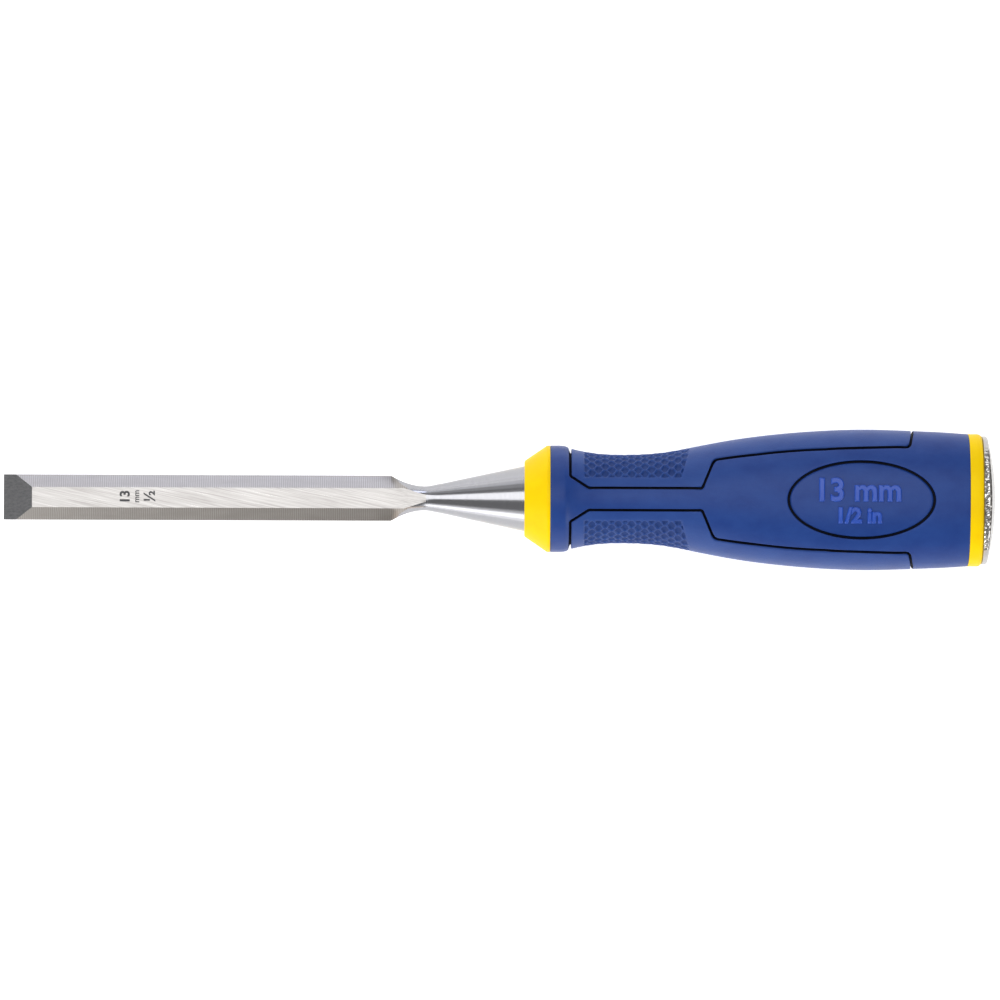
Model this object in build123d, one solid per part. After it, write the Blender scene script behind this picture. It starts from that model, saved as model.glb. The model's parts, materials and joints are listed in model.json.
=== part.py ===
from build123d import *
import os
from math import cos, pi, radians, sin, tan

# A 13 mm bevel-edge bench chisel, in millimetres. The origin is the middle of the cutting edge, on the
# flat back of the blade. +X runs from the cutting edge to the striking cap and +Z is the bevel side.

# Driving dimensions
overall_length = 285.0
blade_width = 13.0
blade_thickness = 3.9
axis_height = 2.4  # the handle's axis above the flat back of the blade
collar_diameter = 30.6
waist_width = 25.5
palm_width = 40.4
palm_thickness = 33.8

# Blade
edge_angle = 25.0  # the cutting bevel
land_height = 1.7  # square edge left below each side bevel
flat_width = 5.75  # the flat between the two side bevels
shoulder_x = 111.3
shoulder_end_x = 114.2
shoulder_end_width = 10.1
waisting_x = 117.4  # part way down the curve from the shoulder to the neck
waisting_width = 8.0
neck_x = 121.2
neck_diameter = 7.05
cone_x = 124.6  # start of the straight cone
cone_diameter = 8.1
sunk_x = 127.3  # the flat blade ends here, inside the cone
root_width = 6.4
root_radius = 0.6  # the round neck starts this thin, inside the flat blade
bolster_x = 149.8
bolster_diameter = 18.9
tang_end_x = 240.0
tang_root = 8.0
tang_tip = 5.0

# Handle, from front to back
collar_front_diameter = 21.7
collar_wall = 2.0
grip_front_x = 157.2
collar_end_x = 162.5
waist_x = 179.0
palm_x = 248.0
ring_x = 277.1
ring_exponent = 2.5
cap_x = 281.0
ring_width = 38.0
ring_thickness = 32.6
cap_width = 36.9
cap_thickness = 31.5
dome_radius = 70.0
core_diameter = 16.0
stem_diameter = 9.0
stem_length = 14.0

# Soft side pads and oval badges, let into the handle
inlay_depth = 1.6
groove_width = 0.75
pad_front_y = 6.4
pad_slant_x = 168.1
pad_inner_y = 2.8
pad_step_x = 200.8
pad_step_end_x = 204.3
pad_step_y = 11.1
pad_bend_x = 226.0
pad_bend_y = 13.9
pad_corner_x = 260.2
pad_corner_y = 14.9
pad_rear_x = 261.5
pad_rear_y = 20.0
badge_x = 246.0
badge_length = 42.4
badge_width = 22.6

outline_points = 40
far = 60.0  # well outside the handle

# Sections of the handle: x, width, thickness and the exponent of its superellipse, where 2 is an ellipse
stations = [
    (159.0, 29.8, 29.8, 2.0),
    (164.0, 28.4, 28.4, 2.0),
    (170.4, 26.2, 26.2, 2.0),
    (waist_x, waist_width, waist_width, 2.0),
    (189.4, 26.8, 26.4, 2.1),
    (199.8, 30.6, 28.6, 2.2),
    (210.1, 34.4, 30.6, 2.35),
    (222.0, 37.5, 32.3, 2.5),
    (235.0, 39.6, 33.4, 2.6),
    (palm_x, palm_width, palm_thickness, 2.6),
    (262.0, 39.6, 33.6, 2.55),
    (ring_x, ring_width, ring_thickness, ring_exponent),
]


def ring_outline(x, width, thickness, exponent):
    """Superellipse across the handle: its radius in each direction makes |y/a|^n + |z/b|^n equal 1."""
    points = []
    for step in range(outline_points):
        angle = 2 * pi * step / outline_points
        across = abs(2 * cos(angle) / width) ** exponent
        upward = abs(2 * sin(angle) / thickness) ** exponent
        radius = (across + upward) ** (-1 / exponent)
        points.append(Vector(x, radius * cos(angle), axis_height + radius * sin(angle)))
    return Wire([Spline(*points, periodic=True)])


def make_handle_solid(inset):
    """The handle's outer shape, drawn in by inset all round."""
    rings = []
    for x, width, thickness, exponent in stations:
        rings.append(ring_outline(x, width - 2 * inset, thickness - 2 * inset, exponent))
    return Solid.make_loft(rings)


def across_x(x):
    """A plane square to the handle's axis, with its local x along +Y."""
    return Plane(origin=(x, 0, axis_height), x_dir=(0, 1, 0), z_dir=(1, 0, 0))


def disc(x_start, x_end, diameter):
    """A round bar on the handle's axis."""
    return extrude(across_x(x_start) * Circle(diameter / 2), amount=x_end - x_start)


def blade_section(x, width):
    """The blade's six-sided section: flat back, two square lands, two side bevels and the middle flat."""
    side = width / 2
    bevel = (blade_width - flat_width) / 2
    flat = max(side - bevel, 0.1)
    corners = [
        (x, -side, 0),
        (x, side, 0),
        (x, side, land_height),
        (x, flat, blade_thickness),
        (x, -flat, blade_thickness),
        (x, -side, land_height),
    ]
    return Wire.make_polygon([Vector(*corner) for corner in corners], close=True)


def make_neck():
    """The round neck and the polished bolster, turned about the handle's axis."""
    with BuildSketch(Plane.XZ) as profile:
        with BuildLine():
            start = (shoulder_x, axis_height)
            root = (shoulder_x, axis_height + root_radius)
            cone_start = (cone_x, axis_height + cone_diameter / 2)
            cone_end = (bolster_x, axis_height + bolster_diameter / 2)
            Line(start, root)
            Spline(
                root,
                (shoulder_end_x, axis_height + 2.1),
                (waisting_x, axis_height + 3.1),
                (neck_x, axis_height + neck_diameter / 2),
                cone_start,
                tangents=[(1, 1), (bolster_x - cone_x, (bolster_diameter - cone_diameter) / 2)],
            )
            Polyline(cone_start, cone_end, (bolster_x, axis_height), start)
        make_face()
    return revolve(profile.sketch, Axis((0, 0, axis_height), (1, 0, 0)))


def make_tang():
    """The square tang, tapering from the bolster to its hidden end."""
    root = across_x(bolster_x) * Rectangle(tang_root, tang_root)
    tip = across_x(tang_end_x) * Rectangle(tang_tip, tang_tip)
    return loft([root.face(), tip.face()])


def make_blade(tang):
    widths = [
        (0, blade_width),
        (shoulder_x, blade_width),
        (shoulder_end_x, shoulder_end_width),
        (waisting_x, waisting_width),
        (neck_x, neck_diameter),
        (sunk_x, root_width),
    ]
    blade = make_neck() + tang
    for (x_start, width_start), (x_end, width_end) in zip(widths, widths[1:]):
        ends = [blade_section(x_start, width_start), blade_section(x_end, width_end)]
        blade += Solid.make_loft(ends, ruled=True)
    bevel_length = blade_thickness / tan(radians(edge_angle))
    wedge = Polyline((0, 0), (bevel_length, blade_thickness), (0, blade_thickness), close=True)
    cutter = extrude(Plane.XZ * make_face(wedge), amount=blade_width, both=True)
    return blade - cutter


def make_front_collar(tang):
    """The yellow ring behind the bolster, with a conical front and a pocket for the core's nose."""
    with BuildSketch(Plane.XZ) as profile:
        with BuildLine():
            Polyline(
                (bolster_x, axis_height),
                (bolster_x, axis_height + collar_front_diameter / 2 - 0.5),
                (bolster_x + 0.5, axis_height + collar_front_diameter / 2),
                (grip_front_x - 1.0, axis_height + collar_diameter / 2),
                (grip_front_x, axis_height + collar_diameter / 2),
                (grip_front_x, axis_height),
                close=True,
            )
        make_face()
    ring = revolve(profile.sketch, Axis((0, 0, axis_height), (1, 0, 0)))
    return ring - disc(bolster_x + collar_wall, grip_front_x, core_diameter) - tang


def make_core(tang, stem):
    return disc(bolster_x + collar_wall, cap_x, core_diameter) - tang - stem


def pad_outline():
    """Edge of the left pad's groove, in plan. The loop closes well outside the handle."""
    corners = [
        (collar_end_x, far),
        (collar_end_x, pad_front_y),
        (pad_slant_x, pad_inner_y),
        (pad_step_x, pad_inner_y),
        (pad_step_end_x, pad_step_y),
        (pad_bend_x, pad_bend_y),
        (pad_corner_x, pad_corner_y),
        (pad_rear_x, pad_rear_y),
        (pad_rear_x, far),
    ]
    edge = FilletPolyline(*corners, radius=[0.9, 2.0, 1.2, 1.8, 200.0, 1.8, 3.0])
    return make_face(edge + Line(corners[-1], corners[0]))


def make_pad_prism(side, inset):
    """The pad's outline as an upright block, side +1 for the left and -1 for the right."""
    outline = pad_outline()
    if inset:
        outline = offset(outline, amount=-inset, kind=Kind.ARC)
    block = extrude(Plane.XY.offset(-far) * outline, amount=2 * far)
    if side < 0:
        block = mirror(block, about=Plane.XZ)
    return block


def make_badge_prism(side, inset):
    """The badge's oval as an upright block, side +1 for the top and -1 for the underside."""
    oval = Ellipse(badge_length / 2 - inset, badge_width / 2 - inset)
    base = Plane(origin=(badge_x, 0, axis_height), z_dir=(0, 0, side))
    return extrude(base * oval, amount=far)


def make_handle_body(outer, inner, core_hole):
    collar = disc(grip_front_x, collar_end_x, collar_diameter)
    collar = fillet(collar.edges().group_by(Axis.X)[-1], 0.9)
    front_trim = disc(grip_front_x - 10, grip_front_x, 2 * collar_diameter)
    body = outer + collar - front_trim
    for side in (1, -1):
        body -= make_pad_prism(side, 0) - inner
        body -= make_badge_prism(side, 0) - inner
    return body - core_hole


def make_rear_ring(core_hole):
    outline = ring_outline(ring_x, ring_width, ring_thickness, ring_exponent)
    plate = extrude(Face(outline), amount=cap_x - ring_x)
    plate = fillet(plate.edges().group_by(Axis.X)[-1], 0.8)
    return plate - core_hole


def make_striking_cap(stem):
    """The domed plate that takes the mallet, and the stem that holds it in the core."""
    outline = ring_outline(cap_x, cap_width, cap_thickness, ring_exponent)
    plate = extrude(Face(outline), amount=overall_length - cap_x)
    ball = Pos(overall_length - dome_radius, 0, axis_height) * Sphere(dome_radius)
    plate = plate & ball
    plate = fillet(plate.edges().group_by(Axis.X)[-1], 1.0)
    return plate + stem


tang = make_tang()
stem = disc(cap_x - stem_length, cap_x + 1, stem_diameter)
core_hole = disc(grip_front_x - 1, cap_x + 1, core_diameter)
outer = make_handle_solid(0)
inner = make_handle_solid(inlay_depth)

parts = {
    "blade": make_blade(tang),
    "front_collar": make_front_collar(tang),
    "handle_core": make_core(tang, stem),
    "handle_body": make_handle_body(outer, inner, core_hole),
    "rear_ring": make_rear_ring(core_hole),
    "striking_cap": make_striking_cap(stem),
}
for side, name in ((1, "grip_pad_left"), (-1, "grip_pad_right")):
    parts[name] = (outer & make_pad_prism(side, groove_width)) - inner
for side, name in ((1, "badge_top"), (-1, "badge_bottom")):
    parts[name] = (outer & make_badge_prism(side, groove_width)) - inner

os.makedirs("parts", exist_ok=True)
for name, shape in parts.items():
    export_step(shape, f"parts/{name}.step")
    print(name, round(shape.volume, 1), "mm3", len(shape.solids()), "solid(s)")
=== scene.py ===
# %% [markdown]
# # A bevel-edge bench chisel, 13 mm wide
#
# The chisel lies with its cutting edge at the origin and its handle along +X, bevel side up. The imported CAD
# model is the frame: it says where each piece is and how big. This lesson builds the surfaces that the eye
# sees, one piece at a time, as numpy grids, and gives each a material that starts from how the real surface
# was made.

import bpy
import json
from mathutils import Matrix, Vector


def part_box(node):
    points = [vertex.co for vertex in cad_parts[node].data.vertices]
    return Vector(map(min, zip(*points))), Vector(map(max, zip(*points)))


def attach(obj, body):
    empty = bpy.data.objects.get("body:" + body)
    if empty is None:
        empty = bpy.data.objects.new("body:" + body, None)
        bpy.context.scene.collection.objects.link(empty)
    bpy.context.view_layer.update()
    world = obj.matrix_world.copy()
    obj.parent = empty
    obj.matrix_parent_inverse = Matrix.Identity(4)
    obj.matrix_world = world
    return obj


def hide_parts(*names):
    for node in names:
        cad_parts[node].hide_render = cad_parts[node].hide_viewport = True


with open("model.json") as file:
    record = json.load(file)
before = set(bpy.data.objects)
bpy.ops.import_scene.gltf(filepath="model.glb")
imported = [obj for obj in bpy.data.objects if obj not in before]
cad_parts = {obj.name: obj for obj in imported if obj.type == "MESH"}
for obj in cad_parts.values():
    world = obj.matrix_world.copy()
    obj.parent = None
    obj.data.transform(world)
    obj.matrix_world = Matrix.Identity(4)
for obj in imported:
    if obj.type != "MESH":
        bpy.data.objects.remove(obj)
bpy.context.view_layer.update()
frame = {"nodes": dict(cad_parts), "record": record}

# %% Tools used below
import json
import math

import bmesh
import bpy
import numpy as np
from mathutils import Vector
from mathutils.bvhtree import BVHTree

MM = 0.001  # shapes are worked out in millimetres and stored in metres

# %% [markdown]
# ## Sizes read from the frame
#
# A box gives a node's ends, but a waisted handle also needs its width part way along. A ray shot inwards at
# the CAD skin gives that. It is better than copying numbers, because the new skin then follows the CAD if
# that changes.

# %% Boxes and rays


def box_mm(node):
    """Lowest and highest corner of a CAD node, in millimetres."""
    return [np.array(corner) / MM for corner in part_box(node)]


def make_tree(node):
    """The CAD node's faces in a form that a ray can be shot at."""
    mesh = frame["nodes"][node].data
    return BVHTree.FromPolygons([v.co for v in mesh.vertices], [list(p.vertices) for p in mesh.polygons])


REACH = 0.1  # metres, a start well outside the chisel
HANDLE_NODES = ("handle_body", "grip_pad_left", "badge_top", "rear_ring")
trees = {node: make_tree(node) for node in ("blade", *HANDLE_NODES)}


def skin_distance(x, across, up, height, nodes=HANDLE_NODES):
    """Distance in mm from the line at this height to the CAD skin at x, going out across (+Y) and up (+Z)."""
    outward = Vector((0, across, up)).normalized()
    start = Vector((x, 0, height)) * MM + REACH * outward
    hits = [trees[node].ray_cast(start, -outward)[3] for node in nodes]
    return (REACH - min(hit for hit in hits if hit is not None)) / MM


mounts = {mount["name"]: mount for mount in frame["record"]["mounts"]}
axis_z = mounts["collar"]["pos_m"][2] / MM
collar_low, collar_high = box_mm("front_collar")
pad_low, pad_high = box_mm("grip_pad_left")
badge_low, badge_high = box_mm("badge_top")
ring_low, ring_high = box_mm("rear_ring")
cap_low, cap_high = box_mm("striking_cap")
blade_high = box_mm("blade")[1]

bolster_x = collar_low[0]
grip_x = collar_high[0]
ring_x = ring_low[0]
cap_x = ring_high[0]
end_x = cap_high[0]
collar_radius = collar_high[1]
core_radius = box_mm("handle_core")[1][1]
bolster_radius = blade_high[1]
mid_blade = 50.0
blade_half = skin_distance(mid_blade, 1, 0, 0.5, ["blade"])
blade_thick = skin_distance(mid_blade, 0, 1, 0.0, ["blade"])
print(f"axis {axis_z:.2f}, blade {2 * blade_half:.2f} x {blade_thick:.2f}, length {end_x:.1f} mm")

# %% [markdown]
# ## Grids into meshes
#
# Every new piece is one or more grids of points. A grid can close on itself like a tube, and a row drawn in
# to one point makes a pole. The grids of a piece share their edges, so welding the points that meet leaves
# one closed skin.

# %% From grids to a closed mesh
WELD = 0.002  # mm, points nearer than this are one


def grid_faces(rows, columns, wrap_rows, wrap_columns):
    """Quads between neighbouring rows and columns, with the last joined to the first where wrapped."""
    number = np.arange(rows * columns).reshape(rows, columns)
    if wrap_rows:
        number = np.vstack([number, number[:1]])
    if wrap_columns:
        number = np.hstack([number, number[:, :1]])
    corners = [number[:-1, :-1], number[:-1, 1:], number[1:, 1:], number[1:, :-1]]
    return np.stack(corners, axis=-1).reshape(-1, 4)


def make_piece(name, patches, materials, sharp_degrees=38.0, crisp_finishes=False):
    """Welds grids into one object at the origin. A patch is (points, wrap rows, wrap columns, finish).

    A finish is a place in the list of materials, or an array with one for each face. An edge is sharp if its
    faces turn by more than sharp_degrees or, if so asked, if they differ in finish."""
    points, faces, slots = [], [], []
    count = 0
    for grid, wrap_rows, wrap_columns, finish in patches:
        rows, columns = grid.shape[:2]
        quads = grid_faces(rows, columns, wrap_rows, wrap_columns)
        points.append(grid.reshape(-1, 3) * MM)
        faces.append(quads + count)
        slots.append(np.full(len(quads), finish) if np.ndim(finish) == 0 else finish.ravel())
        count += rows * columns
    mesh = bpy.data.meshes.new(name)
    mesh.from_pydata(np.concatenate(points).tolist(), [], np.concatenate(faces).tolist())
    mesh.polygons.foreach_set("material_index", np.concatenate(slots))
    welded = bmesh.new()
    welded.from_mesh(mesh)
    bmesh.ops.remove_doubles(welded, verts=welded.verts, dist=WELD * MM)
    bmesh.ops.recalc_face_normals(welded, faces=welded.faces)
    for face in welded.faces:
        face.smooth = True
    for edge in welded.edges:
        changes = crisp_finishes and len({face.material_index for face in edge.link_faces}) > 1
        edge.smooth = not changes and edge.calc_face_angle(0.0) < math.radians(sharp_degrees)
    open_edges = sum(1 for edge in welded.edges if len(edge.link_faces) != 2)
    volume = welded.calc_volume(signed=True)
    if volume < 0:
        bmesh.ops.reverse_faces(welded, faces=welded.faces)
    welded.to_mesh(mesh)
    welded.free()
    for material in materials:
        mesh.materials.append(material)
    piece = bpy.data.objects.new(name, mesh)
    bpy.context.scene.collection.objects.link(piece)
    print(f"{name}: {len(mesh.polygons)} faces, {open_edges} open edges, {abs(volume) / MM**3:.0f} mm3")
    return piece


def place(piece, slot, *nodes):
    """Rides the piece on the chisel and takes over from the CAD nodes. The slot is not used."""
    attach(piece, "root")
    if nodes:
        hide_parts(*nodes)
    return piece


# %% [markdown]
# ## Materials
#
# A material here is one Principled shader fed by a few procedural nodes. Image textures could give the same
# look, but nodes need no files and stay sharp at any distance. Patterns read Object coordinates, which are
# metres on the chisel, so a Mapping node divides them by the real size of a grain or a scratch.

# %% Colour and node helpers


def linear(hex_code):
    """An sRGB hex colour as linear red, green and blue, with an alpha of 1."""
    srgb = np.array([int(hex_code[i : i + 2], 16) for i in (1, 3, 5)]) / 255
    rgb = np.where(srgb <= 0.04045, srgb / 12.92, ((srgb + 0.055) / 1.055) ** 2.4)
    return (*rgb.tolist(), 1.0)


def add_node(tree, kind, values=None, links=None, **settings):
    """Adds a node with its settings, its sockets' constant values and the links into it."""
    node = tree.nodes.new(kind)
    for name, value in settings.items():
        setattr(node, name, value)
    for socket, value in (values or {}).items():
        node.inputs[socket].default_value = value
    for socket, source in (links or {}).items():
        tree.links.new(source, node.inputs[socket])
    return node


def start_material(name, **values):
    """A new material with its shader's sockets set to these values: (material, node tree, shader)."""
    material = bpy.data.materials.new(name)
    material.use_nodes = True
    shader = material.node_tree.nodes["Principled BSDF"]
    for socket, value in values.items():
        shader.inputs[socket.replace("_", " ")].default_value = value
    return material, material.node_tree, shader


def lay_pattern(tree, size_mm, values, turn=0.0, kind="ShaderNodeTexNoise", **settings):
    """A texture laid on the object, its unit size_mm long along x, y and z, turned about Z by an angle."""
    place_on = add_node(tree, "ShaderNodeTexCoord")
    mapped = add_node(
        tree,
        "ShaderNodeMapping",
        {"Scale": [length * MM for length in size_mm], "Rotation": (0, 0, turn)},
        {"Vector": place_on.outputs["Object"]},
        vector_type="TEXTURE",  # this type turns first and then divides by the scale
    )
    values = {"Scale": 1.0, **values}
    return add_node(tree, kind, values, {"Vector": mapped.outputs["Vector"]}, **settings).outputs["Fac"]


def work_surface(tree, shader, tone, colours, tone_ends, grain, depth_mm, roughness_ends=None):
    """Colours the shader by the tone, and lets the grain raise it by depth_mm and spread its roughness."""
    ramp = add_node(tree, "ShaderNodeValToRGB", links={"Fac": tone})
    for element, end, colour in zip(ramp.color_ramp.elements, tone_ends, colours):
        element.position = end
        element.color = linear(colour)
    tree.links.new(ramp.outputs["Color"], shader.inputs["Base Color"])
    bump = add_node(tree, "ShaderNodeBump", {"Distance": depth_mm * MM}, {"Height": grain})
    tree.links.new(bump.outputs["Normal"], shader.inputs["Normal"])
    if roughness_ends:
        values = dict(zip(("To Min", "To Max"), roughness_ends))
        spread = add_node(tree, "ShaderNodeMapRange", values, {"Value": grain})
        tree.links.new(spread.outputs["Result"], shader.inputs["Roughness"])


# %% [markdown]
# ### Steel
#
# Every steel face is the same metal, and only its last working differs, save that the cutting bevel is
# darkened with painted shade. Real scratches are a few hundredths of a millimetre wide and wheel marks a few
# tenths apart. Both are drawn coarser here, as coarse as it takes to show.

# %% Steel, ground and polished


def ground_steel(name, scratch_mm, colours, roughness, depth_mm, turn=0.0):
    """Carbon steel off a grinding wheel: scratches this long along x, y and z, turned to the wheel's path."""
    material, tree, shader = start_material(name, Metallic=1.0, Roughness=roughness)
    scratches = lay_pattern(tree, scratch_mm, {"Detail": 4.0, "Roughness": 0.7}, turn)
    roughness_ends = (roughness * 1.25, roughness * 0.75)
    work_surface(tree, shader, scratches, colours, (0.3, 0.7), scratches, depth_mm, roughness_ends)
    return material


def wheel_marked_steel(name, pitch_mm, colours, roughness, depth_mm):
    """Steel ground across by a stepping wheel: a line every pitch_mm along the blade, stronger in patches."""
    material, tree, shader = start_material(name, Metallic=1.0, Roughness=roughness)
    one_wave = 2 * math.pi / 20  # the node's own waves are this long
    wave = {"Scale": one_wave, "Distortion": 1.2, "Detail": 2.0, "Detail Scale": 1.5}
    lines = lay_pattern(tree, (pitch_mm,) * 3, wave, kind="ShaderNodeTexWave", bands_direction="X")
    patches = lay_pattern(tree, (9.0, 2.5, 2.5), {"Detail": 3.0, "Roughness": 0.6})
    uneven = add_node(tree, "ShaderNodeMath", links={0: lines, 1: patches}, operation="MULTIPLY")
    work_surface(tree, shader, uneven.outputs["Value"], colours, (0.0, 0.6), lines, depth_mm)
    return material


SLANT = math.radians(-12)
PALE, FLECKED, BURR_SHADE = ("#989492", "#C2C0BE"), ("#5E564E", "#FFFFFC"), ("#1A1612", "#8A8480")
# Surface ground at a slant: long faint streaks, and the lightest face of the blade.
flat_steel = ground_steel("flat_surface_ground_steel", (16, 0.3, 1), PALE, 0.30, 0.002, SLANT)
# Ground across: close even lines that dull the shine to a plain grey.
side_steel = wheel_marked_steel("side_bevel_cross_ground_steel", 0.62, ("#928E8A", "#A8A4A0"), 0.34, 0.006)
# Ground to an edge, with short scratches running back from the edge; its darker grey is painted shade.
edge_steel = ground_steel("cutting_bevel_ground_steel", (8, 0.5, 0.5), ("#747476", "#949496"), 0.36, 0.003)
# Lapped flat: long fine scratches over an even sheen.
back_steel = ground_steel("flat_back_lapped_steel", (30, 0.4, 0.4), ("#9A9A9C", "#B8B8BA"), 0.28, 0.002)
# Polished: each lamp shows in it as a soft-edged band.
polished_steel = ground_steel("bolster_polished_steel", (0.8, 5, 5), ("#9E9EA2", "#A4A4A8"), 0.17, 0.0001)
# Stamped: a pale grey with a faint mottle that runs no particular way.
cap_steel = ground_steel("striking_cap_stamped_steel", (2, 2, 2), ("#A8A6A4", "#B8B6B4"), 0.3, 0.004)
# Sheared and torn: bright flecks beside brown-grey pits.
torn_steel = ground_steel("striking_cap_sheared_rim_steel", (0.8, 1.6, 1.6), FLECKED, 0.2, 0.05)
# A burr in painted shade: a broken line, nearly black.
burr_shade_cap_steel = ground_steel("striking_cap_burred_edge_steel", (0.9, 1.7, 1.7), BURR_SHADE, 0.3, 0.06)
# Etched: a thin layer of oxide, flat dark grey without a shine.
etched_grey = start_material("etched_oxide_grey", Base_Color=linear("#48484A"), Roughness=0.6)[0]

# %% [markdown]
# ### Plastics
#
# The hard parts are polypropylene and the pads a soft elastomer, both injection-moulded. The mould's
# spark-eroded grain takes off the gloss. The real grain is about a tenth of a millimetre, and is drawn
# three to five times that, which is as coarse as it takes to show.

# %% Plastics


def moulded_plastic(name, colours, roughness, grain_mm, grain_depth_mm, specular=0.5, sheen=0.0):
    """Injection-moulded plastic: one colour with faint clouding, and the fine grain of its mould."""
    values = {"Roughness": roughness, "IOR": 1.49, "Sheen_Weight": sheen, "Specular_IOR_Level": specular}
    material, tree, shader = start_material(name, **values)
    clouds = lay_pattern(tree, (9.0, 6.0, 6.0), {"Detail": 4.0, "Roughness": 0.6})
    grain = lay_pattern(tree, (grain_mm,) * 3, {"Detail": 2.0, "Roughness": 0.5})
    roughness_ends = (roughness + 0.08, roughness - 0.08)
    work_surface(tree, shader, clouds, colours, (0.3, 0.7), grain, grain_depth_mm, roughness_ends)
    return material


BLUE, FIGURE_HIGHLIGHT_BLUE, GROOVE_SHADE_BLUE = ("#10367E", "#1A4088"), ("#1C48AC", "#2450B4"), ("#050A1C", "#080E24")
SOFT_BLUE, YELLOW = ("#123A82", "#1C448C"), ("#F8CC00", "#FCD600")
# Grained mould: a deep satin blue.
blue_plastic = moulded_plastic("blue_moulded_polypropylene", BLUE, 0.46, 0.35, 0.03, 0.32)
# A shallower grain: the same blue, a little shinier.
badge_plastic = moulded_plastic("badge_moulded_polypropylene", BLUE, 0.42, 0.35, 0.02, 0.32)
# Soft elastomer: a coarser grain, and a bloom of light where it turns away.
blue_rubber = moulded_plastic("blue_soft_touch_elastomer", SOFT_BLUE, 0.50, 0.45, 0.045, 0.36, 0.06)
# The bottoms of its dimples are given painted shade: darker, and duller.
dimple_shade_rubber = moulded_plastic("shaded_dimple_elastomer", ("#0E306E", "#163878"), 0.55, 0.45, 0.03, 0.3)
# Raised figures: a lighter blue than the plate, which is a painted highlight, with a sharper shine.
figure_highlight_plastic = moulded_plastic("raised_figures_polypropylene", FIGURE_HIGHLIGHT_BLUE, 0.36, 0.35, 0.01, 0.5)
# A narrow groove, drawn near-black: painted shade.
groove_shade_plastic = moulded_plastic("shadowed_groove_polypropylene", GROOVE_SHADE_BLUE, 0.7, 0.35, 0.03, 0.2)
# Smooth mould: an even warm yellow, with a broad weak highlight.
yellow_plastic = moulded_plastic("yellow_moulded_polypropylene", YELLOW, 0.45, 0.5, 0.008, 0.1)
# The core is out of sight, in a plain darker yellow.
core_plastic = moulded_plastic("core_moulded_polypropylene", ("#E0B000", "#F0C000"), 0.5, 0.5, 0.01)

# %% [markdown]
# ## The blade
#
# One forging: a flat-backed bar with bevelled sides, waisted to a round neck that swells into the polished
# bolster. It could be boxes and cones joined by booleans, but the waist is a smooth change from a six-sided
# section to a round one. So one ring of points runs the whole length, and each ring is a mix of the two
# sections.

# %% The blade's rings
LAND = 1.7  # square edge below each side bevel
FLAT_HALF = 2.9  # half the flat between the side bevels
EDGE_ANGLE = math.radians(25.0)


def side_of_ring(start, end, steps):
    """Points from one corner of the section up to, but not including, the next."""
    share = np.linspace(0, 1, steps, endpoint=False)[:, None]
    return (1 - share) * np.array(start) + share * np.array(end)


def smooth_through(x, knots, values):
    """Cubic curve through the knots, whose slope at each is that of the parabola through its neighbours."""
    knots, values = np.array(knots, float), np.array(values, float)
    slopes = np.gradient(values, knots)
    i = np.clip(np.searchsorted(knots, x) - 1, 0, len(knots) - 2)
    span = knots[i + 1] - knots[i]
    t = np.clip((x - knots[i]) / span, 0, 1)
    start = (2 * t**3 - 3 * t**2 + 1) * values[i] + (t**3 - 2 * t**2 + t) * span * slopes[i]
    return start + (3 * t**2 - 2 * t**3) * values[i + 1] + (t**3 - t**2) * span * slopes[i + 1]


def smooth_step(x, low, high):
    """0 below low, 1 above high, and a smooth S between."""
    t = np.clip((x - low) / (high - low), 0, 1)
    return t * t * (3 - 2 * t)


SIDES = (("land", 6), ("bevel", 16), ("flat", 10), ("bevel", 16), ("land", 6))
upper_count = sum(steps for name, steps in SIDES)
corners = [
    (blade_half, 0),
    (blade_half, LAND),
    (FLAT_HALF, blade_thick),
    (-FLAT_HALF, blade_thick),
    (-blade_half, LAND),
    (-blade_half, 0),
]
upper = [side_of_ring(corners[i], corners[i + 1], steps) for i, (name, steps) in enumerate(SIDES)]
lower = side_of_ring(corners[5], corners[0], upper_count)
bar_ring = np.vstack([*upper, lower])  # y and z of each point of the bar's section
ring_angle = np.arctan2(bar_ring[:, 0], bar_ring[:, 1] - axis_z)  # from straight up towards +Y
print(len(bar_ring), "points round the blade")

# %% [markdown]
# Towards the neck the flat stays crisp and narrows to a point, while its flanks turn from a bevel and a
# square edge into a round. The flat's line is straight, because it is the cone's top edge carried on down
# to the blade.

# %% Sections of the neck and the bolster
SHOULDER_X = 111.4
CONE_X = 125.0
CONE_RADIUS = 4.13
cone_slope = (bolster_radius - CONE_RADIUS) / (bolster_x - CONE_X)
half_knots = [SHOULDER_X, 114.0, 117.4, 121.2, CONE_X, 132.0, bolster_x]
half_values = [blade_half, 5.15, 4.0, 3.52, CONE_RADIUS, CONE_RADIUS + 7.0 * cone_slope, bolster_radius]
below_knots = [SHOULDER_X, 113.0, 117.4, 121.2, CONE_X]
below_values = [axis_z, axis_z, 2.9, 3.4, CONE_RADIUS]
FLAT_NARROWS, FLAT_POINT, POINT_HALF = 115.3, 121.3, 0.95
FLAT_GROUND_END = 121.6  # the grinding of the flat fades out here, and the polish begins


def rounded_corner(value, floor, width):
    """The larger of value and floor, with the corner between them rounded over a width: a hyperbola."""
    return floor + (value - floor + np.sqrt((value - floor) ** 2 + width**2)) / 2


wide = abs(bar_ring[:, 0])
on_flat = (wide <= FLAT_HALF + 1e-6) & (bar_ring[:, 1] > blade_thick - 1e-6)
on_back = bar_ring[:, 1] < 1e-6
out_of_flat = (wide - FLAT_HALF) / (blade_half - FLAT_HALF)  # 0 at the flat's corner and 1 at the side
bar_corner = math.atan2(FLAT_HALF, blade_thick - axis_z)
down_the_flank = (abs(ring_angle) - bar_corner) / (math.pi - bar_corner)  # 0 at the flat's corner and 1 below
land_z = LAND - axis_z
above_land = bar_ring[:, 1] - LAND


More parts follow.
